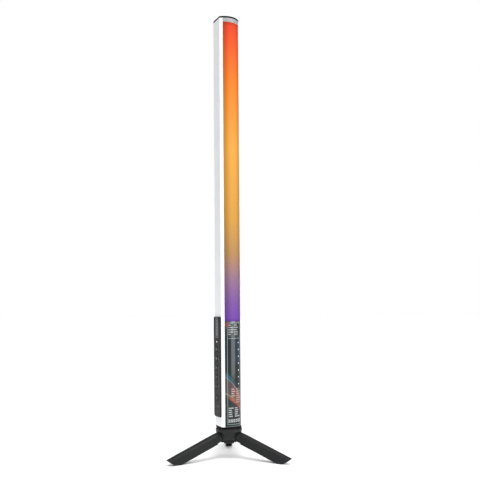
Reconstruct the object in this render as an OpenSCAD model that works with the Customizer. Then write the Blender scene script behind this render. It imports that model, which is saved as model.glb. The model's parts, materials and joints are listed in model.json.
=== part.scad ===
// LED light tube standing on a folding mini tripod.
// Millimetres, +Z up, floor at z = 0. The lit front faces -Y and the control panel is on the -X side.
// The tube's axis stands at x = axis_x, so that the origin is the centre of the whole footprint.

/* [Tube] */
// Length of the tube over both end caps
tube_len = 850; // [840:1:900]
// Height of the tube's lower end above the floor
tube_base = 62; // [62:1:62]
// Width across the two front corners of the section
front_w = 49; // [48:0.5:50]
// Width of the flat back
back_w = 36; // [35:0.5:37]
// Depth from the flat back to the middle of the curved front
tube_depth = 45; // [44.8:0.1:45.4]
// Depth of the flat tapered sides
side_depth = 33; // [32.6:0.1:33.2]
// Width of the housing's lip on each side of the curved front
lip_w = 7; // [6.5:0.1:7.5]
// Wall of the aluminium extrusion
wall = 1.8; // [1.6:0.1:2]
// Thickness of each end cap's plate
cap_t = 3.5; // [3:0.5:4]
// Height of the dark lower front cover
cover_len = 213; // [210:0.5:225]
// Height of the satin trim above the diffuser
trim_len = 8.5; // [8:0.5:10]

/* [Control panel] */
// Length of the panel
panel_len = 203.5; // [203:0.5:206]
// Width of the panel
panel_w = 32; // [30:0.5:32]
// Height of the panel's rim above the housing
panel_proud = 2.8; // [2.6:0.1:3]
// Travel of each push button
button_travel = 0.5; // [0.3:0.1:0.5]
// Number of battery cells in a row
cell_count = 6; // [4:1:6]

/* [Tripod] */
// Outer radius of the hub's flange
hub_r = 27; // [26:0.5:28]
// Radius at which each leg's pin stands from the hub's axis
pivot_r = 19; // [19:0.5:20]
// Height of the leg pins above the floor
pivot_z = 45.7; // [45.7:0.1:45.7]
// Slope of the spread legs below level
leg_slope = 20.5; // [20:0.5:21]
// Depth of a leg seen from the side
leg_depth = 20.5; // [20.5:0.1:22]
// Width of a leg seen from above
leg_w = 15; // [14:0.5:15]
// Length of a leg from its pin to its toe
leg_len = 125; // [122:0.5:128]
// Turn of the tripod on the tube's screw
tripod_turn = -4.5; // [-5:0.5:5]

/* [Hidden] */
$fn = 64;

// Where the tube's axis stands, which centres the footprint of the three legs on the origin.
axis_x = 27.8;
axis_y = 5;

// Section of the tube: a tapered trapezoid whose front is an arc.
back_y = tube_depth / 2;
corner_y = back_y - side_depth;
sagitta = tube_depth - side_depth;
arc_r = (front_w * front_w / 4 + sagitta * sagitta) / (2 * sagitta);
arc_y = arc_r - tube_depth / 2;
taper = (front_w - back_w) / 2 / side_depth;
taper_angle = atan(taper);
lip_angle = asin(front_w / 2 / arc_r) - lip_w / arc_r * 180 / PI;
flange_angle = lip_angle + 9;
ledge_angle = lip_angle + 3;
lip_t = 1.4;
shell_t = 2.6;
web_front = -1.0;
web_back = 0.8;

// Heights along the tube.
tube_top = tube_base + tube_len;
body_lo = tube_base + cap_t;
body_hi = tube_top - cap_t;
cover_hi = body_lo + cover_len;
lit_hi = body_hi - trim_len;

// Screws of the end caps and the standard quarter-inch socket.
back_boss = [14.5, 18];
front_boss = [19.4, -4.6];
cap_screw_spots = [for (b = [back_boss, front_boss], s = [-1, 1]) [s * b[0], b[1]]];
boss_r = 2.8;
screw_r = 1.25;
screw_len = 12;
head_r = 2.8;
head_t = 1.6;
socket_r = 3.175;
insert_r = 5;
insert_len = 10;
cap_boss_r = 8;
cap_boss_len = 12;

// Control panel, in its own frame: x out of the side face, y towards the front, z up.
face_x = -(front_w + back_w) / 4;
face_y = (back_y + corner_y) / 2;
panel_lo = tube_base + 22.5;
panel_mid = panel_lo + panel_len / 2;
panel_face = 2.4;
panel_back = 1.5;
button_y = -1.5;
board_out = -4.6;
board_t = 1.6;
display_z = tube_base + 203.5;
status_z = tube_base + 174.5;
button_zs = [for (i = [0 : 4]) tube_base + 159.5 - 19 * i];
power_z = tube_base + 60.5;
charge_z = tube_base + 43.5;
port_z = tube_base + 33.5;
cap_out = 2.9;
flange_lo = 0.65;
flange_hi = 1.45;
stem_in = -2.1;

// Inside the tube.
led_lo = cover_hi + 4;
led_hi = body_hi - cap_boss_len - 1;
led_pitch = 12;
cell_r = 9.15;
cell_len = 65;
cell_pitch = 66.5;
cell_y = 10.75;
cell_lo = tube_base + 248;
cell_hi = cell_lo + cell_count * cell_pitch;
pcb_y = 4;
driver_lo = tube_base + 18;
driver_hi = tube_base + 238;
lead_z = tube_base + 230;
protect_lo = cell_hi + 13;

// Tripod.
hub_lo = 31;
hub_hi = tube_base - 1.5;
leg_top = 29 - pivot_r;
leg_bottom = leg_top - leg_depth;
tongue_w = 9;
slot_w = 10.2;
core_r = 8.2;
pin_r = 2;
pin_len = 16;
washer_t = 0.5;
foot_t = 3;
toe_flat_r = 121;
leg_turns = [for (a = [180, -60, 60]) a + tripod_turn];

// ---------- shared shapes ----------

module at_axis() {
    translate([axis_x, axis_y, 0]) children();
}

module slab(lo, hi) {
    translate([0, 0, lo]) linear_extrude(height = hi - lo) children();
}

// A rectangle with rounded corners, centred, as one outline.
module round_rect(w, h, r) {
    steps = 5;
    polygon([for (c = [0 : 3], i = [0 : steps])
        let (a = 90 * c + 90 * i / steps, sx = (c == 0 || c == 3) ? 1 : -1, sy = (c < 2) ? 1 : -1)
        [sx * (w / 2 - r) + r * cos(a), sy * (h / 2 - r) + r * sin(a)]]);
}

// Half width of the tapered sides at depth y, drawn in by inset.
function half_at(y, inset) = back_w / 2 + taper * (back_y - y) - inset / cos(taper_angle);

module wedge(y_lo, y_hi, inset) {
    polygon([[-half_at(y_hi, inset), y_hi], [half_at(y_hi, inset), y_hi],
             [half_at(y_lo, inset), y_lo], [-half_at(y_lo, inset), y_lo]]);
}

module front_disc(inset) {
    translate([0, arc_y]) circle(r = arc_r - inset, $fn = 128);
}

// A fan that opens towards the front, as wide as the angle on each side.
module front_fan(angle) {
    reach = 60;
    translate([0, arc_y])
        polygon([[0, 0], [-reach * tan(angle), -reach], [reach * tan(angle), -reach]]);
}

module tube_outline() {
    chamfer = 1.6;
    shoulder = half_at(back_y - chamfer, 0);
    intersection() {
        front_disc(0);
        wedge(-40, back_y, 0);
        polygon([[-40, -40], [40, -40], [40, back_y - chamfer], [shoulder, back_y - chamfer],
                 [back_w / 2 - chamfer, back_y], [-back_w / 2 + chamfer, back_y],
                 [-shoulder, back_y - chamfer], [-40, back_y - chamfer]]);
    }
}

// A strip of the curved front that slides in the housing's grooves: flush shell and hidden flanges.
module front_strip(skin) {
    gap_angle = 0.3;
    difference() {
        union() {
            intersection() {
                front_disc(skin);
                front_fan(lip_angle - gap_angle);
            }
            intersection() {
                front_disc(lip_t + 0.1);
                front_fan(flange_angle);
            }
        }
        front_disc(shell_t);
    }
}

// Places a child on the control side, with x pointing out of the face and y towards the front.
module on_panel(z) {
    at_axis() translate([face_x, face_y, z]) rotate([0, 0, 180 - taper_angle]) children();
}

// Extrudes an outline drawn in (front, up) outwards from one depth to another.
module outward(lo, hi) {
    translate([lo, 0, 0]) rotate([90, 0, 90]) linear_extrude(height = hi - lo) children();
}

module stem(r, lo, hi) {
    translate([lo, 0, 0]) rotate([0, 90, 0]) cylinder(r = r, h = hi - lo);
}

// ---------- tube shell ----------

module housing_section() {
    difference() {
        tube_outline();
        difference() {
            wedge(web_back, back_y - wall, wall);
            for (s = [-1, 1]) translate([s * back_boss[0], back_boss[1]]) circle(r = boss_r + 0.2);
        }
        difference() {
            intersection() {
                front_disc(lip_t);
                wedge(-40, web_front, wall);
            }
            for (s = [-1, 1]) translate([s * front_boss[0], front_boss[1]]) circle(r = boss_r);
            groove_ledges();
        }
        intersection() {
            front_disc(-5);
            front_fan(lip_angle);
            translate([-30, -40]) square([60, 30]);
        }
    }
}

// Ledges behind the diffuser's flanges.
module groove_ledges() {
    intersection() {
        difference() {
            front_disc(shell_t + 0.2);
            front_disc(shell_t + 1.6);
            front_fan(ledge_angle);
        }
        translate([-30, -14]) square([60, 9]);
    }
}

module rear_housing() {
    end_depth = cap_boss_len + 1;
    color("gainsboro") at_axis() difference() {
        slab(body_lo, body_hi) housing_section();
        for (p = cap_screw_spots) translate([p[0], p[1], body_lo - 1]) cylinder(r = screw_r, h = tube_len);
        for (z = [body_lo - 1, body_hi - end_depth])
            translate([0, 0, z]) cylinder(r = cap_boss_r + 0.2, h = end_depth + 1);
        panel_window();
        for (x = [-4, 0, 4]) translate([x, 5, lead_z]) rotate([90, 0, 0]) cylinder(r = 1.2, h = 8);
    }
}

// The cut-out behind the control panel, in the tube's own frame.
module panel_window() {
    translate([face_x, face_y, panel_mid]) rotate([0, 0, 180 - taper_angle])
        outward(-4, 4) translate([-2.15, 0]) square([14.1, panel_len - 10], center = true);
}

module diffuser() {
    color("orange") at_axis() slab(cover_hi, lit_hi) front_strip(0);
}

module front_cover() {
    color("darkslategray") at_axis() slab(body_lo, cover_hi) front_strip(0.2);
}

module label_film() {
    color("midnightblue") at_axis() slab(body_lo + 2, cover_hi - 2) difference() {
        intersection() {
            front_disc(0);
            front_fan(lip_angle - 1.5);
        }
        front_disc(0.2);
    }
}

module top_trim() {
    color("silver") at_axis() slab(lit_hi, body_hi) front_strip(0);
}

// ---------- end caps ----------

// Plate and boss of an end cap, drawn with the plate's outer face at z = 0 and the boss going up.
module end_cap() {
    difference() {
        union() {
            linear_extrude(height = cap_t) tube_outline();
            translate([0, 0, cap_t - 0.5]) cylinder(r = cap_boss_r, h = cap_boss_len + 0.5);
        }
        translate([0, 0, -1]) cylinder(r = insert_r, h = insert_len + 1);
        for (p = cap_screw_spots) {
            translate([p[0], p[1], -1]) cylinder(r = screw_r + 0.25, h = cap_t + 2);
            translate([p[0], p[1], -1]) cylinder(r = head_r + 0.2, h = head_t + 1);
        }
    }
}

module cap_screws() {
    for (p = cap_screw_spots) translate([p[0], p[1], 0]) difference() {
        union() {
            cylinder(r = head_r, h = head_t);
            translate([0, 0, head_t - 0.2]) cylinder(r = screw_r, h = screw_len);
        }
        translate([0, 0, -1]) cylinder(r = 1.1, h = 1.9, $fn = 6);
    }
}

module threaded_insert(len) {
    difference() {
        cylinder(r = insert_r, h = len);
        translate([0, 0, -1]) cylinder(r = socket_r, h = len + 2);
    }
}

module at_top() {
    at_axis() translate([0, 0, tube_top]) mirror([0, 0, 1]) children();
}

module at_bottom() {
    at_axis() translate([0, 0, tube_base]) children();
}

module top_end_cap() {
    color("#202224") at_top() end_cap();
}

module top_insert() {
    color("goldenrod") at_top() threaded_insert(insert_len);
}

module top_cap_screws() {
    color("dimgray") at_top() cap_screws();
}

module bottom_end_cap() {
    color("#202224") at_bottom() end_cap();
}

module bottom_insert() {
    color("goldenrod") at_bottom() threaded_insert(insert_len);
}

module bottom_cap_screws() {
    color("dimgray") at_bottom() cap_screws();
}

// ---------- light engine ----------

module led_board() {
    color("whitesmoke") at_axis() translate([-15, web_front - board_t, led_lo])
        cube([30, board_t, led_hi - led_lo]);
}

module led_emitters() {
    rows = floor((led_hi - led_lo - led_pitch) / led_pitch);
    size = 5;
    color("khaki") at_axis() for (i = [0 : rows])
        translate([-size / 2, web_front - board_t - 1.6, led_lo + led_pitch * (i + 0.5) - size / 2])
            cube([size, 1.6, size]);
}

module reflector_strips() {
    side = [[15.1, -2.7], [15.6, -2.7], [15.6, -7.7], [17.2, -9.4], [16.8, -9.8], [15.1, -8.0]];
    color("white") at_axis() for (s = [0, 1]) mirror([s, 0, 0]) slab(led_lo, led_hi) polygon(side);
}

module led_leads() {
    color("tomato") at_axis() for (x = [-4, 0, 4])
        translate([x, pcb_y, lead_z]) rotate([90, 0, 0]) cylinder(r = 0.9, h = pcb_y - web_front);
}

// ---------- battery ----------

module battery_cells() {
    color("royalblue") at_axis() for (i = [0 : cell_count - 1])
        translate([0, cell_y, cell_lo + i * cell_pitch]) cylinder(r = cell_r, h = cell_len);
}

module battery_tabs() {
    color("silver") at_axis() for (i = [0 : cell_count])
        translate([0, cell_y, cell_lo + i * cell_pitch - 1.35]) cylinder(r = 4, h = 1.2);
}

module battery_holder() {
    half = 12;
    end_t = 3;
    color("dimgray") at_axis() difference() {
        translate([-half, web_back, cell_lo - end_t - 1.5])
            cube([2 * half, 14, cell_hi - cell_lo + 2 * end_t + 1.5]);
        translate([0, cell_y, cell_lo - 1.5]) cylinder(r = cell_r + 0.15, h = cell_hi - cell_lo + 1.5);
        translate([-10, cell_y, cell_lo - 1.5]) cube([20, 10, cell_hi - cell_lo + 1.5]);
    }
}

module protection_board() {
    color("darkgreen") at_axis() translate([-12, pcb_y, protect_lo]) cube([29.5, board_t, 40]);
}

module battery_leads() {
    color("firebrick") at_axis() for (x = [13.6, 16.2])
        translate([x, pcb_y + board_t + 1.0, driver_hi - 38]) cylinder(r = 1.0, h = protect_lo + 48 - driver_hi);
}

// ---------- driver ----------

module driver_board() {
    color("darkgreen") at_axis() translate([-12.5, pcb_y, driver_lo])
        cube([30, board_t, driver_hi - driver_lo]);
}

module on_driver(x, z) {
    at_axis() translate([x, pcb_y + board_t, z]) rotate([-90, 0, 0]) children();
}

module driver_inductor() {
    color("#404040") on_driver(4, driver_lo + 110) cylinder(r = 6.5, h = 7);
}

module driver_capacitors() {
    color("slategray") for (i = [0 : 2]) on_driver(-8 + 9 * i, driver_lo + 85) cylinder(r = 3.9, h = 8);
}

module driver_chips() {
    color("#303030") at_axis() for (z = [25, 50, 140, 165])
        translate([-4, pcb_y + board_t, driver_lo + z]) cube([12, 1.8, 12]);
}

module board_standoffs() {
    color("ivory") at_axis()
        for (z = [driver_lo + 6, driver_lo + 190, protect_lo + 20], x = [-9, 9])
            translate([x, pcb_y, z]) rotate([90, 0, 0]) cylinder(r = 2.2, h = pcb_y - web_back);
}

// ---------- control panel ----------

module button_outline(grow) {
    round_rect(9 + 2 * grow, 13 + 2 * grow, 2 + grow);
}

module control_panel() {
    post_zs = [for (i = [0 : 3]) (button_zs[i] + button_zs[i + 1]) / 2 - panel_mid];
    color("#2b2d2f") on_panel(panel_mid) difference() {
        union() {
            difference() {
                outward(0, panel_proud) round_rect(panel_w, panel_len, 4.5);
                outward(panel_face, panel_proud + 1) round_rect(panel_w - 3.2, panel_len - 3.2, 3.2);
                outward(-1, panel_back) round_rect(panel_w - 5, panel_len - 5, 2.5);
            }
            for (z = post_zs, y = [-8.5, 3.4])
                translate([board_out, y - 0.6, z - 2]) cube([panel_back - board_out + 0.3, 1.2, 4]);
        }
        translate([0, button_y, 0]) {
            for (z = button_zs) translate([0, 0, z - panel_mid]) outward(0, 5) button_outline(0.25);
            translate([0, 0, power_z - panel_mid]) stem(6.9, 0, 5);
            translate([0, 0, display_z - panel_mid]) outward(0, 5) round_rect(10.2, 38.2, 1);
            translate([0, 0, status_z - panel_mid]) stem(1.4, 0, 5);
            translate([0, 0, charge_z - panel_mid]) stem(0.9, 0, 5);
            translate([0, 0, port_z - panel_mid]) outward(0, 5) round_rect(9.3, 3.6, 1.75);
        }
    }
}

module control_board() {
    color("darkgreen") on_panel(panel_mid)
        translate([board_out - board_t, -8.5, -panel_len / 2 + 8]) cube([board_t, 12.4, panel_len - 16]);
}

module tactile_switches() {
    color("gray") for (z = concat(button_zs, [power_z])) on_panel(z) translate([0, button_y, 0]) {
        translate([board_out, -3, -3]) cube([1.2, 6, 6]);
        stem(1.7, board_out + 1, stem_in - button_travel - 0.1);
    }
}

// A push button: cap above the panel's face, flange behind it, and a stem to its switch.
module press_button(z) {
    on_panel(z) translate([0, button_y, 0]) {
        outward(flange_hi - 0.1, cap_out) button_outline(0);
        outward(flange_lo, flange_hi) button_outline(0.8);
        stem(1.5, stem_in, flange_lo + 0.1);
    }
}

module mode_button() {
    color("#3a3c3e") press_button(button_zs[0]);
}

module colour_button() {
    color("#3a3c3e") press_button(button_zs[1]);
}

module effect_button() {
    color("#3a3c3e") press_button(button_zs[2]);
}

module plus_button() {
    color("#3a3c3e") press_button(button_zs[3]);
}

module minus_button() {
    color("#3a3c3e") press_button(button_zs[4]);
}

module power_button() {
    color("#3a3c3e") on_panel(power_z) translate([0, button_y, 0]) difference() {
        union() {
            stem(6.6, flange_hi - 0.1, cap_out + 0.2);
            stem(7.6, flange_lo, flange_hi);
            stem(1.5, stem_in, flange_lo + 0.1);
        }
        stem(4.9, cap_out - 0.2, cap_out + 1);
    }
}

module display_module() {
    color("#181818") on_panel(display_z) translate([0, button_y, 0])
        outward(0.1, 1.15) round_rect(11, 37, 0.5);
}

module display_window() {
    color("#101418") on_panel(display_z) translate([0, button_y, 0])
        outward(1.2, 2.2) round_rect(10, 38, 0.9);
}

module display_ribbon() {
    color("peru") on_panel(display_z) translate([board_out, button_y - 2, -14]) cube([0.1 - board_out, 4, 0.3]);
}

module status_light() {
    color("white") on_panel(status_z) translate([0, button_y, 0]) stem(1.35, board_out, panel_face);
}

module charge_light() {
    color("lightgreen") on_panel(charge_z) translate([0, button_y, 0]) stem(0.85, board_out, panel_face);
}

module usb_port() {
    color("silver") on_panel(port_z) translate([0, button_y, 0]) difference() {
        outward(board_out, 2.3) round_rect(8.94, 3.26, 1.6);
        outward(board_out + 0.5, 3) round_rect(8.34, 2.6, 1.28);
    }
}

module usb_tongue() {
    color("#202020") on_panel(port_z) translate([board_out + 0.5, button_y - 3.3, -0.35]) cube([5.8, 6.6, 0.7]);
}

// ---------- tripod ----------

// Places a leg's outline, drawn in (radius, height), in the plane of one leg.
module leg_plane(turn, width) {
    at_axis() rotate([0, 0, turn]) translate([0, width / 2, 0]) rotate([90, 0, 0])
        linear_extrude(height = width) children();
}

// Moves an outline from the leg's own frame, along and across the leg, to (radius, height).
module along_leg() {
    translate([pivot_r, pivot_z]) rotate(-leg_slope) children();
}

module hub_profile() {
    steps = 10;
    neck_r = 14.8;
    neck_z = 36.2;
    rim_z = 55;
    polygon(concat(
        [[0, hub_lo], [15.5, hub_lo], [15.5, 35.2]],
        [for (i = [0 : steps]) let (t = 90 * i / steps)
            [neck_r + (hub_r - neck_r) * (0.5 * sin(t) + 0.5 * (1 - cos(t))),
             rim_z - (rim_z - neck_z) * cos(t)]],
        [[hub_r, hub_hi - 0.8], [hub_r - 0.8, hub_hi], [0, hub_hi]]));
}

// The space a leg's tongue swings in. Its slanted roof stops the leg when it is spread.
module slot_outline() {
    roof = leg_top + 0.15;
    far = 60;
    out = [cos(leg_slope), -sin(leg_slope)];
    up = [sin(leg_slope), cos(leg_slope)];
    p = [pivot_r, pivot_z];
    polygon([p + roof * up, p + roof * up + far * out, [far, 20], [core_r, 20], [core_r, pivot_z]]);
    translate(p) circle(r = roof + 0.15);
}

module tripod_hub() {
    color("#2a2c2e") difference() {
        at_axis() rotate_extrude($fn = 96) hub_profile();
        for (turn = leg_turns) {
            leg_plane(turn, slot_w) slot_outline();
            leg_pin(turn, pin_r);
        }
        stud_shape();
        at_axis() translate([0, 0, hub_lo - 1]) cylinder(r = insert_r, h = 13);
    }
}

module stud_shape() {
    at_axis() {
        translate([0, 0, 47]) cylinder(r = socket_r - 0.05, h = 23.5);
        translate([0, 0, 50]) cylinder(r = 5.5, h = 3);
    }
}

module tripod_stud() {
    color("silver") stud_shape();
}

module mount_pad() {
    color("#1a1a1a") at_axis() difference() {
        translate([0, 0, hub_hi]) cylinder(r = 22, h = tube_base - hub_hi);
        translate([0, 0, hub_hi - 1]) cylinder(r = socket_r + 0.4, h = 4);
    }
}

module base_insert() {
    color("goldenrod") at_axis() translate([0, 0, hub_lo]) threaded_insert(12);
}

module leg_pin(turn, r) {
    at_axis() rotate([0, 0, turn]) translate([pivot_r, pin_len / 2, pivot_z])
        rotate([90, 0, 0]) cylinder(r = r, h = pin_len);
}

module leg_pins() {
    color("silver") for (turn = leg_turns) leg_pin(turn, pin_r);
}

module friction_washers() {
    color("gray") for (turn = leg_turns, s = [-1, 1])
        at_axis() rotate([0, 0, turn])
            translate([pivot_r, s * (slot_w - washer_t) / 2 + washer_t / 2, pivot_z]) rotate([90, 0, 0])
                difference() {
                    cylinder(r = 6, h = washer_t);
                    translate([0, 0, -1]) cylinder(r = pin_r, h = washer_t + 2);
                }
}

// A point of the leg's own frame, along and across the leg, as (radius, height).
function leg_point(u, v) = [pivot_r + u * cos(leg_slope) + v * sin(leg_slope),
                            pivot_z - u * sin(leg_slope) + v * cos(leg_slope)];

// Outline of a leg down to the floor, in (radius, height). The toe curves up to a pointed corner.
module leg_outline() {
    steps = 8;
    toe = leg_point(leg_len, leg_top);
    heel_r = leg_point((pivot_z + leg_bottom * cos(leg_slope)) / sin(leg_slope), leg_bottom)[0];
    polygon(concat(
        [leg_point(0, leg_bottom), leg_point(0, leg_top)],
        [for (i = [steps : -1 : 0]) let (s = i / steps)
            [toe_flat_r + (toe[0] - toe_flat_r) * s, toe[1] * pow(s, 1.6)]],
        [[heel_r, 0]]));
}

// The wide part of a leg starts where it clears the hub both spread and folded.
module wide_outline() {
    difference() {
        leg_outline();
        translate([pivot_r, pivot_z]) circle(r = 15.5);
        along_leg() translate([-20, -40]) square([35.2, 38]);
    }
}

// Cross-section of a leg: rounded top corners, small chamfers below.
module leg_section() {
    r = 4;
    c = 1;
    steps = 5;
    half = leg_w / 2;
    polygon(concat(
        [[-half + c, leg_bottom], [half - c, leg_bottom], [half, leg_bottom + c]],
        [for (i = [0 : steps]) let (t = 90 * i / steps)
            [half - r * (1 - cos(t)), leg_top - r * (1 - sin(t))]],
        [for (i = [steps : -1 : 0]) let (t = 90 * i / steps)
            [-half + r * (1 - cos(t)), leg_top - r * (1 - sin(t))]],
        [[-half, leg_bottom + c]]));
}

// A prism of the leg's cross-section, laid along the spread leg.
module leg_bar(turn) {
    at_axis() rotate([0, 0, turn]) translate([pivot_r, 0, pivot_z]) rotate([0, leg_slope, 0])
        rotate([90, 0, 90]) linear_extrude(height = leg_len + 10) leg_section();
}

// The shallow panel on each flank, which leaves a raised rim around it.
module flank_panel() {
    rim = 2.4;
    along_leg() polygon([[20, leg_bottom + rim], [20, leg_top - 4.4], [leg_len - 8, leg_top - 4.4],
                         [leg_len - 14, -2], [leg_len - 26, leg_bottom + rim + 2], [96, leg_bottom + rim]]);
}

module leg(turn) {
    depth = 0.6;
    difference() {
        union() {
            intersection() {
                leg_plane(turn, leg_w) wide_outline();
                leg_bar(turn);
            }
            leg_plane(turn, tongue_w) {
                translate([pivot_r, pivot_z]) circle(r = leg_top);
                along_leg() translate([0, -9.5]) square([22, 19]);
            }
        }
        for (s = [-1, 1])
            at_axis() rotate([0, 0, turn]) translate([0, s * leg_w / 2 + depth, 0]) rotate([90, 0, 0])
                linear_extrude(height = 2 * depth) flank_panel();
        leg_plane(turn, 9.4) along_leg() translate([26, leg_bottom - 1]) square([64, leg_depth - 3]);
        leg_pin(turn, pin_r + 0.05);
        at_axis() translate([0, 0, -1]) cylinder(r = 200, h = foot_t + 1);
    }
}

// Rubber sole under the toe.
module foot(turn) {
    intersection() {
        leg_plane(turn, leg_w - 1.6) intersection() {
            leg_outline();
            square([200, foot_t]);
        }
        leg_bar(turn);
    }
}

module left_leg() {
    color("#2e3032") leg(leg_turns[0]);
}

module right_leg() {
    color("#2e3032") leg(leg_turns[1]);
}

module rear_leg() {
    color("#2e3032") leg(leg_turns[2]);
}

module left_foot() {
    color("#3c3e40") foot(leg_turns[0]);
}

module right_foot() {
    color("#3c3e40") foot(leg_turns[1]);
}

module rear_foot() {
    color("#3c3e40") foot(leg_turns[2]);
}

rear_housing();
diffuser();
front_cover();
label_film();
top_trim();
top_end_cap();
top_insert();
top_cap_screws();
bottom_end_cap();
bottom_insert();
bottom_cap_screws();
led_board();
led_emitters();
reflector_strips();
led_leads();
battery_cells();
battery_tabs();
battery_holder();
protection_board();
battery_leads();
driver_board();
driver_inductor();
driver_capacitors();
driver_chips();
board_standoffs();
control_panel();
control_board();
tactile_switches();
display_module();
display_window();
display_ribbon();
status_light();
charge_light();
usb_port();
usb_tongue();
mode_button();
colour_button();
effect_button();
plus_button();
minus_button();
power_button();
tripod_hub();
tripod_stud();
mount_pad();
base_insert();
leg_pins();
friction_washers();
left_leg();
right_leg();
rear_leg();
left_foot();
right_foot();
rear_foot();
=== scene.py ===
"""Looks, light and camera for the LED light tube on its folding mini tripod.

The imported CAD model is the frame. Lengths are in metres in that frame, apart from the film's print and
the panel's marks, which are drawn in millimetres. MM and DEG turn millimetres and degrees into metres
and radians. The tube's lit front faces -Y and its controls face -X.
"""

import json
import math

import bmesh
import bpy
from mathutils import Matrix, Vector

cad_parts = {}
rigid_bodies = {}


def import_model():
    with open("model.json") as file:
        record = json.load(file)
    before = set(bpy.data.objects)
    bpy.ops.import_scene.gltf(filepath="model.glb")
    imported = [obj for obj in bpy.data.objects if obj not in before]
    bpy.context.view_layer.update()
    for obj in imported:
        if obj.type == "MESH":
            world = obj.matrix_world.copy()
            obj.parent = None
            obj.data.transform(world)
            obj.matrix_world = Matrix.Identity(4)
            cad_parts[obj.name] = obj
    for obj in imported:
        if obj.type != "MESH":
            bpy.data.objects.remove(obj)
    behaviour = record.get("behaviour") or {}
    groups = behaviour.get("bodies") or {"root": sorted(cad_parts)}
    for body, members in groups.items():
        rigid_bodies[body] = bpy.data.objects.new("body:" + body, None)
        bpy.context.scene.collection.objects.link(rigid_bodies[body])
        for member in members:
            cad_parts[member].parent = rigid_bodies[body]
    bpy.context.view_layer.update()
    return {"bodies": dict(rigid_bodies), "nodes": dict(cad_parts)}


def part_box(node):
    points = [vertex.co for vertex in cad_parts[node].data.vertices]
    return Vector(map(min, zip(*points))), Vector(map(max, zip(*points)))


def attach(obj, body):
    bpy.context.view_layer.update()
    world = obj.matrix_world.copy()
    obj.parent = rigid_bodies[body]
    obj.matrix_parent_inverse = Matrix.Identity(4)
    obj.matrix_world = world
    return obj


MM = 0.001
DEG = math.pi / 180

# ---------- camera ----------

LENS_MM = 52.5
SENSOR_MM = 36
CAMERA_TURN = -34.81 * DEG  # round the tube, to the left of its front
CAMERA_AWAY = 1.452
CAMERA_HEIGHT = 0.3268
CAMERA_TILT = 0.0494  # upwards; this and the next two are in radians
CAMERA_PAN = 0.01754
CAMERA_ROLL = 0.0077
CAMERA_SHIFT = 0.048

# ---------- the tube's section and the control panel, as in the CAD ----------

AXIS_FROM_BACK = 22.5 * MM
ARC_R = 31.01 * MM
LIP_ANGLE = 39.2 * DEG

# The side face: outwards, towards the front, from the axis to a point on it, and the controls' middle line.
PANEL_NORMAL = Vector((-0.98115, 0.19326, 0))
PANEL_FRONT = Vector((-PANEL_NORMAL.y, PANEL_NORMAL.x, 0))
PANEL_FOOT = Vector((-21.25 * MM, 6.0 * MM, 0))
PANEL_CENTRE = -1.5 * MM

# Heights above the side face: the panel, the buttons' tops and the display's window.
PANEL_FACE = 2.4 * MM
CAP_TOP = 2.9 * MM
POWER_TOP = 2.7 * MM
WINDOW_TOP = 2.2 * MM

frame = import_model()
nodes = frame["nodes"]

housing_lo, housing_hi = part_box("rear_housing")
diffuser_lo, diffuser_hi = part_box("diffuser")
film_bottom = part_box("label_film")[0].z
axis = Vector(((housing_lo.x + housing_hi.x) / 2, housing_hi.y - AXIS_FROM_BACK, 0))
arc_centre = Vector((axis.x, diffuser_lo.y + ARC_R, 0))


def body_of(name):
    """The body that carries a CAD node."""
    return next(body for body, empty in frame["bodies"].items() if nodes[name].parent == empty)


def centre_z(name):
    lo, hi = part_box(name)
    return (lo.z + hi.z) / 2


def placed(name, data):
    """A new object in the scene."""
    made = bpy.data.objects.new(name, data)
    bpy.context.scene.collection.objects.link(made)
    return made


# ---------- node graphs ----------


def srgb(code):
    """A linear colour from a code such as "#d8d8d8"."""
    parts = [int(code[i : i + 2], 16) / 255 for i in (1, 3, 5)]
    linear = [p / 12.92 if p <= 0.04045 else ((p + 0.055) / 1.055) ** 2.4 for p in parts]
    return (*linear, 1)


def shaded(code, factor):
    """A colour code's linear colour, made lighter or darker by a factor."""
    return (*[min(1.0, c * factor) for c in srgb(code)[:3]], 1)


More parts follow.
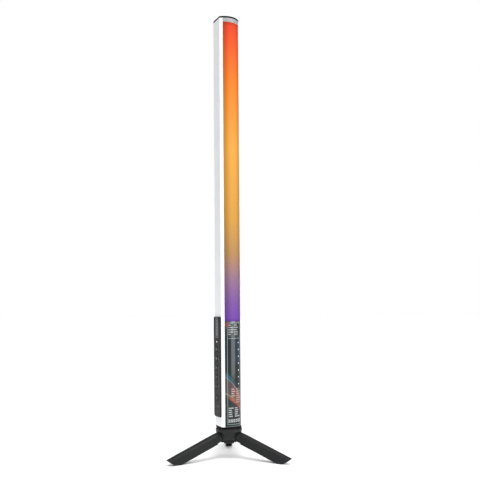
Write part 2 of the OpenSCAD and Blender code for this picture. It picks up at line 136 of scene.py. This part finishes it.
class Graph:
    """A material's node tree, with short calls for the few kinds of node used here."""

    def __init__(self, name):
        self.material = bpy.data.materials.new(name)
        self.material.use_nodes = True
        self.tree = self.material.node_tree
        self.shader = self.tree.nodes["Principled BSDF"]
        self.place = self.node("ShaderNodeTexCoord").outputs["Object"]

    def node(self, kind, **settings):
        made = self.tree.nodes.new(kind)
        for key, value in settings.items():
            setattr(made, key, value)
        return made

    def feed(self, socket, value):
        """Links a socket to an input, or sets a plain value on it."""
        if isinstance(value, bpy.types.NodeSocket):
            self.tree.links.new(value, socket)
        else:
            socket.default_value = value

    def set(self, **inputs):
        """Sets inputs of the main shader, such as Base_Color or Roughness."""
        for key, value in inputs.items():
            self.feed(self.shader.inputs[key.replace("_", " ")], value)

    def math(self, operation, *values, clamp=False):
        made = self.node("ShaderNodeMath", operation=operation, use_clamp=clamp)
        for socket, value in zip(made.inputs, values):
            self.feed(socket, value)
        return made.outputs[0]

    def add(self, a, b):
        return self.math("ADD", a, b)

    def sub(self, a, b):
        return self.math("SUBTRACT", a, b)

    def times(self, a, b):
        return self.math("MULTIPLY", a, b)

    def step(self, value, start, end):
        """0 before start, 1 after end, smooth between; start may lie above end."""
        made = self.node("ShaderNodeMapRange", interpolation_type="SMOOTHSTEP")
        if start > end:
            made.inputs["To Min"].default_value, made.inputs["To Max"].default_value = 1, 0
            start, end = end, start
        self.feed(made.inputs["Value"], value)
        made.inputs["From Min"].default_value = start
        made.inputs["From Max"].default_value = end
        return made.outputs["Result"]

    def mix(self, factor, a, b):
        made = self.node("ShaderNodeMix", data_type="RGBA")
        colour_a, colour_b = (s for s in made.inputs if s.name in "AB" and s.type == "RGBA")
        self.feed(made.inputs["Factor"], factor)
        self.feed(colour_a, a)
        self.feed(colour_b, b)
        return next(s for s in made.outputs if s.type == "RGBA")

    def scaled(self, x, y, z):
        """The place, stretched by a factor along each axis: how often a texture repeats per metre."""
        made = self.node("ShaderNodeVectorMath", operation="MULTIPLY")
        self.feed(made.inputs[0], self.place)
        made.inputs[1].default_value = (x, y, z)
        return made.outputs[0]

    def noise(self, place, detail=3, distortion=0.0):
        made = self.node("ShaderNodeTexNoise")
        self.feed(made.inputs["Vector"], place)
        made.inputs["Scale"].default_value = 1
        made.inputs["Detail"].default_value = detail
        made.inputs["Distortion"].default_value = distortion
        return made.outputs["Fac"]

    def ramp(self, factor, stops):
        """A colour ramp from (share, colour code) pairs."""
        made = self.node("ShaderNodeValToRGB")
        self.feed(made.inputs["Fac"], factor)
        elements = made.color_ramp.elements
        while len(elements) < len(stops):
            elements.new(0.5)
        for element, (share, code) in zip(elements, stops):
            element.position = share
            element.color = srgb(code)
        return made.outputs["Color"]

    def spread(self, factor, low, high):
        """A factor from 0 to 1, taken to the range low to high."""
        made = self.node("ShaderNodeMapRange")
        self.feed(made.inputs["Value"], factor)
        made.inputs["To Min"].default_value = low
        made.inputs["To Max"].default_value = high
        return made.outputs["Result"]

    def bump(self, height, depth, strength):
        """Relief of a depth in millimetres."""
        made = self.node("ShaderNodeBump")
        made.inputs["Strength"].default_value = strength
        made.inputs["Distance"].default_value = depth * MM
        self.feed(made.inputs["Height"], height)
        self.feed(self.shader.inputs["Normal"], made.outputs["Normal"])
        return self

    def axes(self):
        made = self.node("ShaderNodeSeparateXYZ")
        self.feed(made.inputs[0], self.place)
        return made.outputs


# ---------- materials ----------


def extruded_metal(name, code, rough, metal):
    """Bead-blasted, anodised extrusion: faint die lines along Z over a fine grain."""
    g = Graph(name)
    lines = g.noise(g.scaled(900, 900, 2.5), detail=2)
    grain = g.noise(g.scaled(6000, 6000, 6000), detail=2)
    cloud = g.noise(g.scaled(9, 9, 3), detail=2)
    tone = g.mix(g.spread(lines, 0.0, 0.10), srgb(code), srgb("#9a9c9f"))
    tone = g.mix(g.spread(cloud, 0.0, 0.05), tone, srgb("#ffffff"))
    g.set(Base_Color=tone, Metallic=metal)
    g.set(Roughness=g.add(g.spread(grain, rough - 0.05, rough + 0.05), g.spread(lines, -0.03, 0.03)))
    return g.bump(g.add(g.times(lines, 0.4), grain), depth=0.02, strength=0.35).material


def moulded(name, code, rough, grain=1600, depth=0.05, gloss=0.4):
    """Moulded plastic with a spark-eroded texture, and slow changes of tone and sheen."""
    g = Graph(name)
    fine = g.noise(g.scaled(grain, grain, grain), detail=4)
    cloud = g.noise(g.scaled(35, 35, 35), detail=3)
    tone = g.mix(cloud, shaded(code, 0.85), shaded(code, 1.2))
    tone = g.mix(g.spread(fine, 0.0, 0.5), tone, shaded(code, 1.5))
    g.set(Base_Color=tone, Specular_IOR_Level=gloss)
    g.set(Roughness=g.add(g.spread(fine, rough - 0.06, rough + 0.06), g.spread(cloud, -0.05, 0.05)))
    return g.bump(fine, depth, strength=0.4).material


def plain_metal(name, code, rough=0.28):
    """Turned or plated metal with fine random scratches."""
    g = Graph(name)
    scratches = g.noise(g.scaled(2500, 300, 2500), detail=3)
    tone = g.mix(g.spread(scratches, 0.0, 0.2), srgb(code), srgb("#6f6f6f"))
    g.set(Base_Color=tone, Metallic=1.0, Roughness=g.spread(scratches, rough - 0.08, rough + 0.1))
    return g.bump(scratches, depth=0.01, strength=0.3).material


def glowing(name, code, strength):
    """A small light seen through a milky lens, slightly mottled."""
    g = Graph(name)
    mottle = g.noise(g.scaled(700, 700, 700), detail=2)
    g.set(Base_Color=srgb(code), Roughness=0.3, Emission_Color=srgb(code))
    g.set(Emission_Strength=g.spread(mottle, 0.85 * strength, 1.15 * strength))
    return g.material


def board(name, code, trace):
    """Circuit board: solder mask over straight copper traces."""
    g = Graph(name)
    x, _, _ = g.axes()
    across = g.math("PINGPONG", g.times(x, 700), 1.0)
    along = g.noise(g.scaled(400, 400, 40), detail=1)
    lines = g.times(g.step(across, 0.42, 0.5), g.step(along, 0.45, 0.5))
    g.set(Base_Color=g.mix(lines, srgb(code), srgb(trace)), Roughness=0.35)
    return g.bump(lines, depth=0.03, strength=0.5).material


def sleeved(name, code, other):
    """Shrink-wrapped cells: glossy film with fine wrinkles."""
    g = Graph(name)
    wrinkle = g.noise(g.scaled(120, 120, 500), detail=4, distortion=1.0)
    g.set(Base_Color=g.mix(g.spread(wrinkle, 0.0, 0.5), srgb(code), srgb(other)), Roughness=0.25)
    return g.bump(wrinkle, depth=0.1, strength=0.3).material


def across_front(g):
    """How far a point lies round the curved front from its middle, in radians."""
    x, y, _ = g.axes()
    return g.math("ARCTAN2", g.sub(x, arc_centre.x), g.sub(arc_centre.y, y))


def lit_diffuser():
    """Frosted cover lit from behind: orange-red at the top, through amber, to violet at the bottom.

    It is a little darker towards both its sides and at its two ends.
    """
    g = Graph("lit_diffuser")
    _, _, z = g.axes()
    share = g.math("DIVIDE", g.sub(z, diffuser_lo.z), diffuser_hi.z - diffuser_lo.z, clamp=True)
    colour = g.ramp(
        share,
        [
            (0.0, "#7a49b4"),
            (0.06, "#855caa"),
            (0.14, "#a07a95"),
            (0.22, "#c2935f"),
            (0.34, "#e5a84b"),
            (0.57, "#fcb34c"),
            (0.80, "#ff8a2e"),
            (0.93, "#ff612e"),
            (1.0, "#f04b2c"),
        ],
    )
    turn = g.math("ABSOLUTE", across_front(g))
    edge = g.step(turn, 0.20 * LIP_ANGLE, 1.05 * LIP_ANGLE)
    frost = g.noise(g.scaled(1500, 1500, 1500), detail=3)
    shade = g.times(g.spread(edge, 0.97, 0.55), g.spread(frost, 0.985, 1.015))
    ends = g.times(g.step(share, 0.0, 0.012), g.step(share, 1.0, 0.985))
    shade = g.times(shade, g.spread(ends, 0.75, 1.0))
    g.set(Base_Color=g.mix(0.97, colour, (0, 0, 0, 1)), Roughness=g.spread(frost, 0.45, 0.6))
    g.set(Emission_Color=colour, Emission_Strength=shade, Specular_IOR_Level=0.1)
    return g.bump(frost, depth=0.02, strength=0.2).material


def printed_film():
    """Dark film under gloss, with an abstract print: a frame, bars, dots, tiles and coloured arcs.

    u runs round the front from its middle and v up from the film's bottom, both in millimetres.
    """
    g = Graph("printed_film")
    u = g.times(across_front(g), ARC_R / MM)
    _, _, z = g.axes()
    v = g.times(g.sub(z, film_bottom), 1 / MM)
    left_edge, sharp = -19, 0.15

    def band(value, low, high, edge=sharp):
        """1 between low and high, with a soft edge."""
        return g.times(g.step(value, low - edge, low + edge), g.step(value, high + edge, high - edge))

    def patch(left, right, low, high, edge=sharp):
        """1 inside a rectangle, with a soft edge."""
        return g.times(band(u, left, right, edge), band(v, low, high, edge))

    def rows(left, right, low, high, pitch):
        """Bars stacked at a pitch, each with a length hashed from its number."""
        width = right - left
        count = g.times(v, 1 / pitch)
        scrambled = g.math("SINE", g.add(g.times(g.math("FLOOR", count), 12.9898), left))
        length = g.spread(g.math("FRACT", g.times(scrambled, 437.585)), 0.45 * width, width)
        ragged = g.step(g.sub(g.sub(u, left), length), 0.2, -0.2)
        bars = g.times(g.step(g.math("FRACT", count), 0.42, 0.55), ragged)
        return g.times(bars, patch(left, right, low, high))

    def over_arc(top, slope, bend):
        """Height above an arc that falls away from the film's left edge."""
        along = g.sub(u, left_edge)
        return g.sub(v, g.sub(top, g.add(g.times(along, slope), g.times(g.times(along, along), bend))))

    def printed(colour, mask, share, code):
        """The colour with an ink over it where the mask is 1."""
        return g.mix(g.times(mask, share), colour, srgb(code))

    depth = g.noise(g.scaled(25, 25, 18), detail=3)
    speckle = g.noise(g.scaled(420, 420, 420), detail=3)
    flow = g.noise(g.scaled(110, 110, 60), detail=5, distortion=1.2)
    colour = g.mix(depth, srgb("#03090a"), srgb("#0a1a1d"))
    night = g.times(patch(-2, 25, 126, 176, edge=8), g.spread(speckle, 0.1, 0.95))
    colour = g.mix(night, colour, srgb("#162a3f"))

    # Two arcs sweep down across the film: cool above the first, warm between them and below the second.
    first = over_arc(top=98, slope=0.8, bend=0.01)
    second = over_arc(top=64.4, slope=0.5, bend=0.007)
    between = g.times(g.step(first, 1.0, -1.0), g.step(second, -1.0, 1.0))
    warm = g.mix(g.step(u, -13, 8), srgb("#48383a"), srgb("#743b2e"))
    colour = g.mix(g.times(between, g.spread(flow, 0.35, 1.0)), colour, warm)
    glow = g.times(band(first, 1, 9, edge=5), g.step(u, 7, -14))
    colour = printed(colour, glow, 0.75, "#23505f")
    colour = printed(colour, band(first, -0.8, 0.8, edge=0.8), 0.34, "#8ea3a6")
    ember = g.times(band(second, -7, -1, edge=2.5), g.step(u, -21, -4))
    colour = printed(colour, ember, g.spread(flow, 0.3, 1.1), "#98492f")
    green = g.times(band(second, -0.6, 1.6, edge=0.8), g.step(u, 8, -12))
    colour = printed(colour, green, 0.6, "#7d8a62")

    # Columns of bars at the top, at the bottom and over the arcs.
    top_bars = {"low": 181, "high": 208, "pitch": 4.65}
    bottom_bars = {"low": 16.5, "high": 38, "pitch": 4.1}
    for left, right in ((-14, -1.5), (-0.5, 14.5)):
        colour = printed(colour, rows(left, right, **top_bars), 0.5, "#a6aaaa")
    for left, right in ((-14, -2.5), (-0.5, 15)):
        colour = printed(colour, rows(left, right, **bottom_bars), 0.62, "#aaaeae")
    for left, right, low in ((-8, 2.5, 57), (3.5, 16, 45)):
        colour = printed(colour, rows(left, right, low, high=77, pitch=4.4), 0.32, "#d2bcb6")

    # A frame round the whole print, with a divider under the top bars.
    inside = patch(-15.2, 17.0, 3.8, 208.2)
    outline = g.math("SUBTRACT", patch(-16.5, 17.8, 2.6, 209), inside, clamp=True)
    divider = patch(-15.8, 17.4, 175.9, 177.2)
    colour = printed(colour, g.math("MAXIMUM", outline, divider), 0.45, "#8fa0a2")

    # A column of round dots.
    dot_u, dot_r, dot_pitch, dots_low, dots_high = 10.8, 1.2, 13.95, 76.8, 174.4
    dot_share = g.math("FRACT", g.times(g.sub(v, dots_low), 1 / dot_pitch))
    off_v = g.times(g.sub(dot_share, 0.5), dot_pitch)
    off_u = g.sub(u, dot_u)
    off_dot = g.math("SQRT", g.add(g.times(off_v, off_v), g.times(off_u, off_u)))
    dots = g.times(g.step(off_dot, dot_r + sharp, dot_r - sharp), patch(8, 14, dots_low, dots_high))
    colour = printed(colour, dots, 0.9, "#e4e8e8")

    # A row of hollow tiles near the bottom.
    tiles_left, tiles_right, tile_pitch, tile_edge = -15, 16, 5.2, 0.03
    tile_share = g.math("FRACT", g.times(g.sub(u, tiles_left), 1 / tile_pitch))
    tiles = g.times(band(tile_share, 0.12, 0.84, tile_edge), patch(tiles_left, tiles_right, 7.4, 13.4))
    hollow = g.times(band(tile_share, 0.3, 0.64, tile_edge), patch(tiles_left, tiles_right, 9.2, 11.4))
    colour = printed(colour, g.math("SUBTRACT", tiles, hollow, clamp=True), 0.6, "#bcc0c2")

    # A ragged warm patch in the top left corner.
    corner = g.sub(g.add(g.add(u, 20), g.times(g.sub(209, v), 0.7)), g.times(flow, 5))
    ragged_patch = g.times(g.step(corner, 10, 3), patch(-19.5, -11.5, 193, 210, edge=0.4))
    colour = printed(colour, ragged_patch, 0.7, "#7d3328")

    g.set(Base_Color=colour, Roughness=0.32, Specular_IOR_Level=0.08)
    g.set(Coat_Weight=0.5, Coat_Roughness=0.08)
    ripple = g.noise(g.scaled(70, 70, 18), detail=2)
    return g.bump(ripple, depth=0.02, strength=0.25).material


def smoked_cover():
    """Glossy dark cover under the film."""
    g = Graph("smoked_cover")
    cloud = g.noise(g.scaled(60, 60, 20), detail=3)
    g.set(Base_Color=g.mix(cloud, srgb("#12191c"), srgb("#26363f")), Roughness=0.25, Coat_Weight=0.6)
    return g.bump(cloud, depth=0.02, strength=0.3).material


def floor_material():
    """Matt white, with slow changes of tone too faint to see."""
    g = Graph("studio_floor")
    mottle = g.noise(g.scaled(3, 3, 3), detail=3)
    g.set(Base_Color=g.mix(mottle, srgb("#f6f6f6"), srgb("#fafafa")))
    g.set(Roughness=0.8, Specular_IOR_Level=0.2)
    return g.material


cap_black = moulded("cap_plastic", "#050606", rough=0.55, gloss=0.06)
panel_black = moulded("panel_plastic", "#0b0c0d", rough=0.4, grain=2400, depth=0.03, gloss=0.15)
button_black = moulded("button_rubber", "#0f1011", rough=0.5, grain=2600, depth=0.03, gloss=0.15)
tripod_black = moulded("tripod_plastic", "#0e0f10", rough=0.42, grain=1300, gloss=0.2)
hub_black = moulded("hub_plastic", "#0f1011", rough=0.4, grain=1300, gloss=0.25)
rubber = moulded("foot_rubber", "#1d1f20", rough=0.75, grain=900, depth=0.1)
pad_rubber = moulded("pad_rubber", "#161718", rough=0.7, grain=900, depth=0.1)
brass = plain_metal("brass", "#c9a24a")
steel = plain_metal("screw_steel", "#8b8d90")
bright_steel = plain_metal("stud_steel", "#c4c6c9", rough=0.22)
port_metal = plain_metal("port_steel", "#505356")
nickel = plain_metal("nickel", "#c9c6bd", rough=0.3)
ink = moulded("panel_ink", "#84878a", rough=0.45, grain=3000, depth=0.01)

looks = {
    "rear_housing": extruded_metal("housing_metal", "#dfe0e2", rough=0.42, metal=0.3),
    "diffuser": lit_diffuser(),
    "front_cover": smoked_cover(),
    "label_film": printed_film(),
    "top_trim": extruded_metal("trim_metal", "#8b8d8f", rough=0.5, metal=0.3),
    "top_end_cap": cap_black,
    "bottom_end_cap": cap_black,
    "top_insert": brass,
    "bottom_insert": brass,
    "base_insert": brass,
    "top_cap_screws": steel,
    "bottom_cap_screws": steel,
    "led_board": board("white_board", "#e6e7e4", "#c9c4b4"),
    "led_emitters": moulded("emitter_phosphor", "#e5d27a", rough=0.35),
    "reflector_strips": moulded("reflector_film", "#f0f0ee", rough=0.3),
    "led_leads": moulded("lead_silicone", "#a3342a", rough=0.4),
    "battery_cells": sleeved("cell_wrap", "#2c4f8f", "#1c3768"),
    "battery_tabs": nickel,
    "battery_holder": moulded("holder_plastic", "#37393c", rough=0.5),
    "protection_board": board("green_board", "#1f5137", "#3f7a52"),
    "battery_leads": moulded("battery_lead_silicone", "#8c2620", rough=0.4),
    "driver_board": board("driver_green", "#1f5137", "#3f7a52"),
    "driver_inductor": moulded("ferrite", "#2e2f31", rough=0.6),
    "driver_capacitors": plain_metal("capacitor_can", "#9aa3ad"),
    "driver_chips": moulded("chip_epoxy", "#1b1c1e", rough=0.45),
    "board_standoffs": moulded("standoff_nylon", "#e2ddcd", rough=0.4),
    "control_panel": panel_black,
    "control_board": board("control_green", "#1f5137", "#3f7a52"),
    "tactile_switches": nickel,
    "display_module": moulded("display_black", "#0b0c0d", rough=0.3),
    "display_window": moulded("display_glass", "#090b0d", rough=0.12, depth=0.005),
    "display_ribbon": moulded("ribbon_film", "#9a6b34", rough=0.3),
    "status_light": glowing("white_light", "#ffffff", 0.85),
    "charge_light": glowing("charge_pipe", "#6f7577", 0.04),
    "usb_port": port_metal,
    "usb_tongue": moulded("tongue_plastic", "#151617", rough=0.4),
    "tripod_hub": hub_black,
    "tripod_stud": bright_steel,
    "mount_pad": pad_rubber,
    "leg_pins": bright_steel,
    "friction_washers": moulded("washer_nylon", "#17191a", rough=0.4),
    "left_leg": tripod_black,
    "right_leg": tripod_black,
    "rear_leg": tripod_black,
    "left_foot": rubber,
    "right_foot": rubber,
    "rear_foot": rubber,
}
buttons = [name for name in nodes if name.endswith("_button")]
looks.update({name: button_black for name in buttons})

for name, node in nodes.items():
    node.data.materials.clear()
    node.data.materials.append(looks[name])


def soften(width, *names):
    """A small moulded radius on the sharp edges of these CAD nodes."""
    for name in names:
        bevel = nodes[name].modifiers.new("radius", "BEVEL")
        bevel.width = width
        bevel.segments = 2
        bevel.limit_method = "ANGLE"
        bevel.angle_limit = 35 * DEG
        bevel.harden_normals = True


soften(0.25 * MM, "top_end_cap", "bottom_end_cap")
soften(0.45 * MM, "control_panel")
soften(0.2 * MM, *buttons)
soften(0.35 * MM, "tripod_hub", "mount_pad")
soften(1.0 * MM, "left_leg", "right_leg", "rear_leg")
soften(0.3 * MM, "left_foot", "right_foot", "rear_foot")

# ---------- printed marks and lit segments ----------

# How far a mark reaches into its surface and above it.
SUNK = 0.03 * MM
THIN_INK = 0.03 * MM
THICK_INK = 0.08 * MM

# Millimetres on the panel, across or along it from its middle line or from a control.
DISPLAY_OUTLINE = (12.4, 40)
DISPLAY_ROWS = 11
DISPLAY_PITCH = 3
DISPLAY_SIDE = 2.4
TICK_SIDE = 8
TICK_RISE = 1.6
BATTERY_SIDE = 5.15


def on_panel(base_z, lift):
    """A function that places points (towards the front, up) on the control panel.

    Its points lie round base_z, at a lift above the side face.
    """

    def place(a, b, rise):
        across = PANEL_FRONT * (PANEL_CENTRE + a * MM)
        out = PANEL_NORMAL * (lift + rise)
        return Vector((axis.x, axis.y, base_z + b * MM)) + PANEL_FOOT + across + out

    return place


def bar(width, height, a=0.0, b=0.0):
    """A rectangle about the point (a, b)."""
    w, h = width / 2, height / 2
    return [(a - w, b - h), (a + w, b - h), (a + w, b + h), (a - w, b + h)]


def arc_band(radius, width, start, end, steps):
    """Part of a ring about the origin, from one angle to another in degrees."""
    turns = [math.radians(start + (end - start) * i / steps) for i in range(steps + 1)]
    outer, inner = (
        [(r * math.cos(t), r * math.sin(t)) for t in turns]
        for r in (radius + width / 2, radius - width / 2)
    )
    return outer + inner[::-1]


def disc(radius, a=0.0, b=0.0, steps=20):
    """A round outline about the point (a, b)."""
    turns = [2 * math.pi * i / steps for i in range(steps)]
    return [(a + radius * math.cos(t), b + radius * math.sin(t)) for t in turns]


def ring(radius, line):
    """The outer and the inner edge of a ring about the origin."""
    return disc(radius + line / 2, steps=32), disc(radius - line / 2, steps=32)


def border(width, height, line, a=0.0):
    """The outer and the inner edge of a rectangular frame about the point (a, 0)."""
    return bar(width + line, height + line, a), bar(width - line, height - line, a)


def bridge(bm, row, other):
    """A closed strip of faces between two rows of vertices."""
    for i in range(len(row)):
        j = (i + 1) % len(row)
        bm.faces.new((row[i], row[j], other[j], other[i]))


def raised(name, body, outlines, place, material, thick=THIN_INK):
    """Outlines as one thin raised mesh that rides on a body; a pair of edges makes a band."""
    bm = bmesh.new()
    for outline in outlines:
        edges = outline if isinstance(outline, tuple) else (outline,)
        low = [[bm.verts.new(place(a, b, -SUNK)) for a, b in edge] for edge in edges]
        top = [[bm.verts.new(place(a, b, thick)) for a, b in edge] for edge in edges]
        for below, above in zip(low, top):
            bridge(bm, below, above)
        for level in (low, top):
            if len(level) == 2:
                bridge(bm, *level)
            else:
                bm.faces.new(level[0])
    bmesh.ops.recalc_face_normals(bm, faces=bm.faces)
    mesh = bpy.data.meshes.new(name)
    bm.to_mesh(mesh)
    bm.free()
    mesh.materials.append(material)
    made = placed(name, mesh)
    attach(made, body)


rays = [arc_band(2.7, 0.9, t - 5, t + 5, steps=1) for t in range(0, 360, 45)]
marks = {
    "mode": [ring(2.3, 0.5), disc(0.8)],
    "colour": [disc(1.1, 0, 1.3), disc(1.1, -1.3, -1.0), disc(1.1, 1.3, -1.0)],
    "effect": [disc(1.2)] + rays,
    "plus": [bar(4.4, 0.75), bar(0.75, 1.82, 0, 1.285), bar(0.75, 1.82, 0, -1.285)],
    "minus": [bar(4.4, 0.75)],
    "power": [arc_band(2.4, 0.6, 125, 415, steps=28), bar(0.6, 2.4, 0, 2.0)],
}
for mark, outlines in marks.items():
    button = f"{mark}_button"
    place = on_panel(centre_z(button), POWER_TOP if mark == "power" else CAP_TOP)
    raised(f"{mark}_mark", body_of(button), outlines, place, ink, THICK_INK)

tube = body_of("diffuser")
window_z = centre_z("display_window")
face_at_window = on_panel(window_z, PANEL_FACE)
outline = border(*DISPLAY_OUTLINE, line=0.6)
raised("display_outline", tube, [outline], face_at_window, ink)

segment_light = glowing("segment_light", "#7d8488", 0.05)
segments = [
    bar(3.2, 1.3, side, DISPLAY_PITCH * (row - (DISPLAY_ROWS - 1) / 2))
    for row in range(DISPLAY_ROWS)
    for side in (-DISPLAY_SIDE, DISPLAY_SIDE)
]
glass_at_window = on_panel(window_z, WINDOW_TOP)
raised("display_segments", tube, segments, glass_at_window, segment_light, THICK_INK)

ticks = [
    bar(2.4, 0.8, side, (centre_z(f"{mark}_button") - window_z) / MM + rise)
    for mark in ("mode", "colour", "effect", "plus", "minus")
    for side in (-TICK_SIDE, TICK_SIDE)
    for rise in (-TICK_RISE, TICK_RISE)
]
raised("panel_ticks", tube, ticks, face_at_window, ink)

face_at_charge_light = on_panel(centre_z("charge_light"), PANEL_FACE)
battery = border(3.5, 2.2, line=0.35, a=BATTERY_SIDE)
raised("charge_mark", tube, [battery], face_at_charge_light, ink)

# ---------- floor, light and camera ----------

FLOOR_HALF = 12.0
BACKDROP_R = 11.0
BACKDROP_LOW = -1.0
BACKDROP_HIGH = 9.0
AMBIENT = 0.26


def studio_floor():
    """A wide plain floor that reaches past the backdrop."""
    corners = [(-1, -1), (1, -1), (1, 1), (-1, 1)]
    mesh = bpy.data.meshes.new("floor")
    mesh.from_pydata([(x * FLOOR_HALF, y * FLOOR_HALF, 0) for x, y in corners], [], [(0, 1, 2, 3)])
    mesh.materials.append(floor_material())
    placed("floor", mesh)


def place_light(name, light, position, target):
    """A light at a position, turned so that its -Z points at the target."""
    made = placed(name, light)
    made.location = position
    made.rotation_mode = "QUATERNION"
    made.rotation_quaternion = (target - position).to_track_quat("-Z", "Y")


def softbox(name, position, target, width, height, radiance):
    """A rectangular light of an even brightness."""
    light = bpy.data.lights.new(name, "AREA")
    light.shape = "RECTANGLE"
    light.size, light.size_y = width, height
    light.energy = radiance * math.pi * width * height
    place_light(name, light, position, target)


def around(azimuth, away, height):
    """A point round the tube's axis; azimuth 0 is in front and 90 is on the +X side, in degrees."""
    a = math.radians(azimuth)
    return axis + Vector((math.sin(a) * away, -math.cos(a) * away, height))


def studio_backdrop():
    """A white surround that only the camera sees, so it adds no light to the object."""
    steps = 48
    low, high = (
        [(x, y, z) for x, y in disc(BACKDROP_R, steps=steps)] for z in (BACKDROP_LOW, BACKDROP_HIGH)
    )
    faces = [(i, (i + 1) % steps, steps + (i + 1) % steps, steps + i) for i in range(steps)]
    faces.append(tuple(range(steps, 2 * steps)))
    mesh = bpy.data.meshes.new("backdrop")
    mesh.from_pydata(low + high, [], faces)
    white = bpy.data.materials.new("backdrop_white")
    white.use_nodes = True
    shader = white.node_tree.nodes["Principled BSDF"]
    shader.inputs["Base Color"].default_value = (0, 0, 0, 1)
    shader.inputs["Specular IOR Level"].default_value = 0
    shader.inputs["Emission Color"].default_value = (1, 1, 1, 1)
    shader.inputs["Emission Strength"].default_value = 1.0
    mesh.materials.append(white)
    made = placed("backdrop", mesh)
    made.visible_diffuse = made.visible_glossy = made.visible_shadow = made.visible_transmission = False


def overhead_light(name, position, strength, spread):
    """Even light from above on the whole floor; the wider its spread, the softer its shadows."""
    light = bpy.data.lights.new(name, "SUN")
    light.energy = strength
    light.angle = spread
    place_light(name, light, position, axis)


studio_floor()
studio_backdrop()
middle = axis + Vector((0, 0, 0.45))
softbox(
    "front_strip",
    around(azimuth=21.5, away=1.15, height=0.62),
    middle,
    width=0.73,
    height=1.2,
    radiance=5.4,
)
softbox(
    "left_box",
    around(azimuth=-84, away=1.8, height=0.68),
    middle,
    width=1.2,
    height=1.35,
    radiance=2.9,
)
overhead_light(
    "overhead_near", around(azimuth=-35, away=1.1, height=2.6), strength=1.2, spread=22 * DEG
)
overhead_light(
    "overhead_wide", around(azimuth=-35, away=0.5, height=2.9), strength=1.72, spread=100 * DEG
)

world = bpy.data.worlds.new("studio")
bpy.context.scene.world = world
world.use_nodes = True
background = world.node_tree.nodes["Background"]
background.inputs["Color"].default_value = (1, 1, 1, 1)
background.inputs["Strength"].default_value = AMBIENT
bpy.context.scene.view_settings.view_transform = "Standard"


def turned(first, second, angle):
    """Two directions at right angles, with the first turned towards the second."""
    c, s = math.cos(angle), math.sin(angle)
    return first * c + second * s, second * c - first * s


def main_camera():
    """The view from 35 degrees to the left of the tube's front, level with its lower third."""
    data = bpy.data.cameras.new("camera")
    data.lens = LENS_MM
    data.sensor_width = SENSOR_MM
    data.shift_y = CAMERA_SHIFT
    up = Vector((0, 0, 1))
    to_tube = Vector((-math.sin(CAMERA_TURN), math.cos(CAMERA_TURN), 0))
    level, right = turned(to_tube, to_tube.cross(up), CAMERA_PAN)
    ahead, above = turned(level, up, CAMERA_TILT)
    top, side = turned(above, right, CAMERA_ROLL)
    made = placed("camera", data)
    made.matrix_world = Matrix((side, top, -ahead)).transposed().to_4x4()
    made.location = axis - to_tube * CAMERA_AWAY + up * CAMERA_HEIGHT
    bpy.context.scene.camera = made


main_camera()
